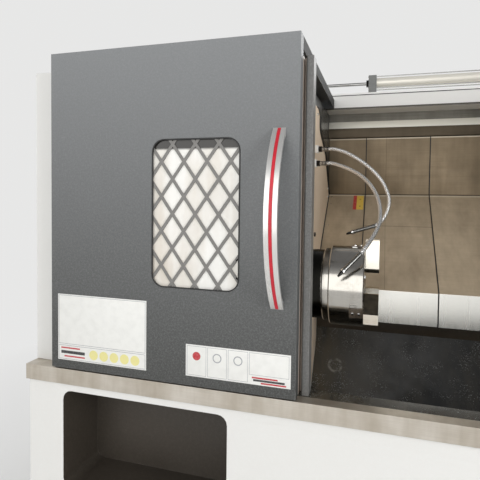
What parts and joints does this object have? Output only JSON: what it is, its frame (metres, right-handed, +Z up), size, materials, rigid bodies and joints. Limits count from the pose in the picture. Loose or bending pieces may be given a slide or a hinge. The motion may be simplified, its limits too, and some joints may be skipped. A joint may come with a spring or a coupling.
{
  "type": "cnc turning lathe",
  "caption": "Slant-bed turning lathe: sliding front door, three-jaw chuck on a headstock spindle, indexing turret, tailstock, telescoping way covers and gooseneck coolant hoses.",
  "frame": {"origin": "floor level, under the middle of the machine's outline", "axes": "+X along the spindle, from headstock to tailstock; +Y into the machine, away from the operator; +Z up"},
  "size_m": [2.4, 1.55, 1.907],
  "materials": {
    "door_grey": "fine textured powder coat",
    "post_grey": "fine textured powder coat",
    "white_paint": "satin",
    "dark_paint": "satin",
    "cast_grey": "painted casting",
    "stainless": "brushed",
    "stainless_tan": "brushed, warm tint",
    "stainless_brown": "brushed, oily brown tint",
    "black_tray": "black, wet with oil",
    "steel": "machined",
    "chuck_steel": "ground and turned",
    "black_steel": "black oxide",
    "braid_steel": "woven braid",
    "aluminium": "brushed",
    "cream_aluminium": "anodised",
    "clear_glass": "clear",
    "black_rubber": "matte",
    "red_inlay": "satin",
    "red_plastic": "moulded",
    "green_plastic": "moulded",
    "black_plastic": "moulded"
  },
  "bodies": {
    "root": {"base_frame": "white_paint", "front_sill": "stainless", "chip_slide": "black_tray", "slant_bed": "cast_grey", "rear_wall": "stainless_brown", "top_beam": "white_paint", "left_wall": "dark_paint", "left_wall_plate": "stainless_tan", "nose_cover": "black_steel", "door_post": "post_grey", "headstock_cover": "white_paint", "left_end_cover": "white_paint", "right_front_cover": "door_grey", "right_end_cover": "white_paint", "way_cover_fixed": "stainless_brown", "headstock_casting": "cast_grey", "spindle_motor": "dark_paint", "drive_belt": "black_rubber", "z_motor": "dark_paint", "tailstock_guide": "cast_grey", "door_cylinder": "cream_aluminium", "hose_fitting_upper": "white_paint", "hose_fitting_lower": "white_paint", "coolant_hose_upper": "braid_steel", "coolant_hose_lower": "braid_steel", "coolant_nozzle_upper": "steel", "coolant_nozzle_lower": "steel", "coolant_tank": "dark_paint", "control_housing": "white_paint", "electrical_cabinet": "white_paint"},
    "door": {"door_shell": "door_grey", "window_gasket": "black_rubber", "window_grille": "door_grey", "window_glass": "clear_glass", "handle_band": "aluminium", "handle_stripe": "red_inlay", "door_hanger": "door_grey", "cylinder_rod": "steel"},
    "spindle": {"spindle_shaft": "steel", "spindle_pulley": "steel", "rotary_cylinder": "steel", "chuck_adapter": "steel", "chuck_body": "chuck_steel"},
    "jaw_1": {"jaw_1": "chuck_steel"},
    "jaw_2": {"jaw_2": "chuck_steel"},
    "jaw_3": {"jaw_3": "chuck_steel"},
    "motor_pulley": {"motor_pulley": "steel"},
    "saddle": {"saddle": "cast_grey", "way_cover_saddle": "stainless_brown"},
    "way_cover_middle": {"way_cover_middle": "stainless_brown"},
    "z_ballscrew": {"z_ballscrew": "steel"},
    "cross_slide": {"cross_slide": "cast_grey"},
    "turret": {"turret_disc": "steel"},
    "tailstock": {"tailstock_body": "cast_grey"},
    "quill": {"tailstock_quill": "steel"},
    "emergency_stop": {"emergency_stop": "red_plastic"},
    "cycle_start_button": {"cycle_start_button": "green_plastic"},
    "override_knob": {"override_knob": "black_plastic"},
    "handwheel": {"handwheel": "black_plastic"},
    "cabinet_door": {"cabinet_door": "white_paint"}
  },
  "joints": [
    {"name": "door_slide", "type": "slide", "parent": "root", "child": "door", "axis": [1, 0, 0], "range_m": [0, 0.8]},
    {"name": "spindle_turn", "type": "hinge", "parent": "root", "child": "spindle", "pos_m": [-0.2, -0.388, 1.074], "axis": [1, 0, 0], "continuous": true},
    {"name": "jaw_1_slide", "type": "slide", "parent": "spindle", "child": "jaw_1", "axis": [0, 0, 1], "range_m": [-0.0044, 0]},
    {"name": "jaw_2_slide", "type": "slide", "parent": "spindle", "child": "jaw_2", "axis": [0, -0.866, -0.5], "range_m": [-0.0044, 0]},
    {"name": "jaw_3_slide", "type": "slide", "parent": "spindle", "child": "jaw_3", "axis": [0, 0.866, -0.5], "range_m": [-0.0044, 0]},
    {"name": "motor_pulley_turn", "type": "hinge", "parent": "root", "child": "motor_pulley", "pos_m": [-0.88, 0.075, 1.41], "axis": [1, 0, 0], "continuous": true},
    {"name": "saddle_slide", "type": "slide", "parent": "root", "child": "saddle", "axis": [1, 0, 0], "range_m": [-0.35, 0]},
    {"name": "way_cover_slide", "type": "slide", "parent": "root", "child": "way_cover_middle", "axis": [1, 0, 0], "range_m": [-0.1576, 0]},
    {"name": "z_screw_turn", "type": "hinge", "parent": "root", "child": "z_ballscrew", "pos_m": [0.3, 0.16828, 1.16412], "axis": [1, 0, 0], "continuous": true},
    {"name": "cross_slide_travel", "type": "slide", "parent": "saddle", "child": "cross_slide", "axis": [0, 0.7793, 0.6266], "range_m": [-0.2, 0]},
    {"name": "turret_index", "type": "hinge", "parent": "cross_slide", "child": "turret", "pos_m": [0.42, -0.07626, 1.32464], "axis": [1, 0, 0], "continuous": true},
    {"name": "tailstock_slide", "type": "slide", "parent": "root", "child": "tailstock", "axis": [1, 0, 0], "range_m": [-0.18, 0]},
    {"name": "quill_slide", "type": "slide", "parent": "tailstock", "child": "quill", "axis": [1, 0, 0], "range_m": [-0.1, 0]},
    {"name": "emergency_stop_push", "type": "slide", "parent": "root", "child": "emergency_stop", "axis": [0, 1, 0], "range_m": [0, 0.006]},
    {"name": "cycle_start_push", "type": "slide", "parent": "root", "child": "cycle_start_button", "axis": [0, 1, 0], "range_m": [0, 0.004], "stiffness_N_per_m": 300},
    {"name": "override_turn", "type": "hinge", "parent": "root", "child": "override_knob", "pos_m": [0.9, -0.74, 1.28], "axis": [0, 1, 0], "range_deg": [-135, 135]},
    {"name": "handwheel_turn", "type": "hinge", "parent": "root", "child": "handwheel", "pos_m": [0.76, -0.74, 1.23], "axis": [0, 1, 0], "continuous": true},
    {"name": "cabinet_door_hinge", "type": "hinge", "parent": "root", "child": "cabinet_door", "pos_m": [-0.6, 0.755, 1.25], "axis": [0, 0, 1], "range_deg": [0, 110]}
  ],
  "couplings": [
    {"joint": "jaw_2_slide", "follows": "jaw_1_slide", "ratio": 1},
    {"joint": "jaw_3_slide", "follows": "jaw_1_slide", "ratio": 1},
    {"joint": "motor_pulley_turn", "follows": "spindle_turn", "ratio": 1.3571},
    {"joint": "way_cover_slide", "follows": "saddle_slide", "ratio": 0.45},
    {"joint": "z_screw_turn", "follows": "saddle_slide", "rad_per_m": 628.32}
  ]
}
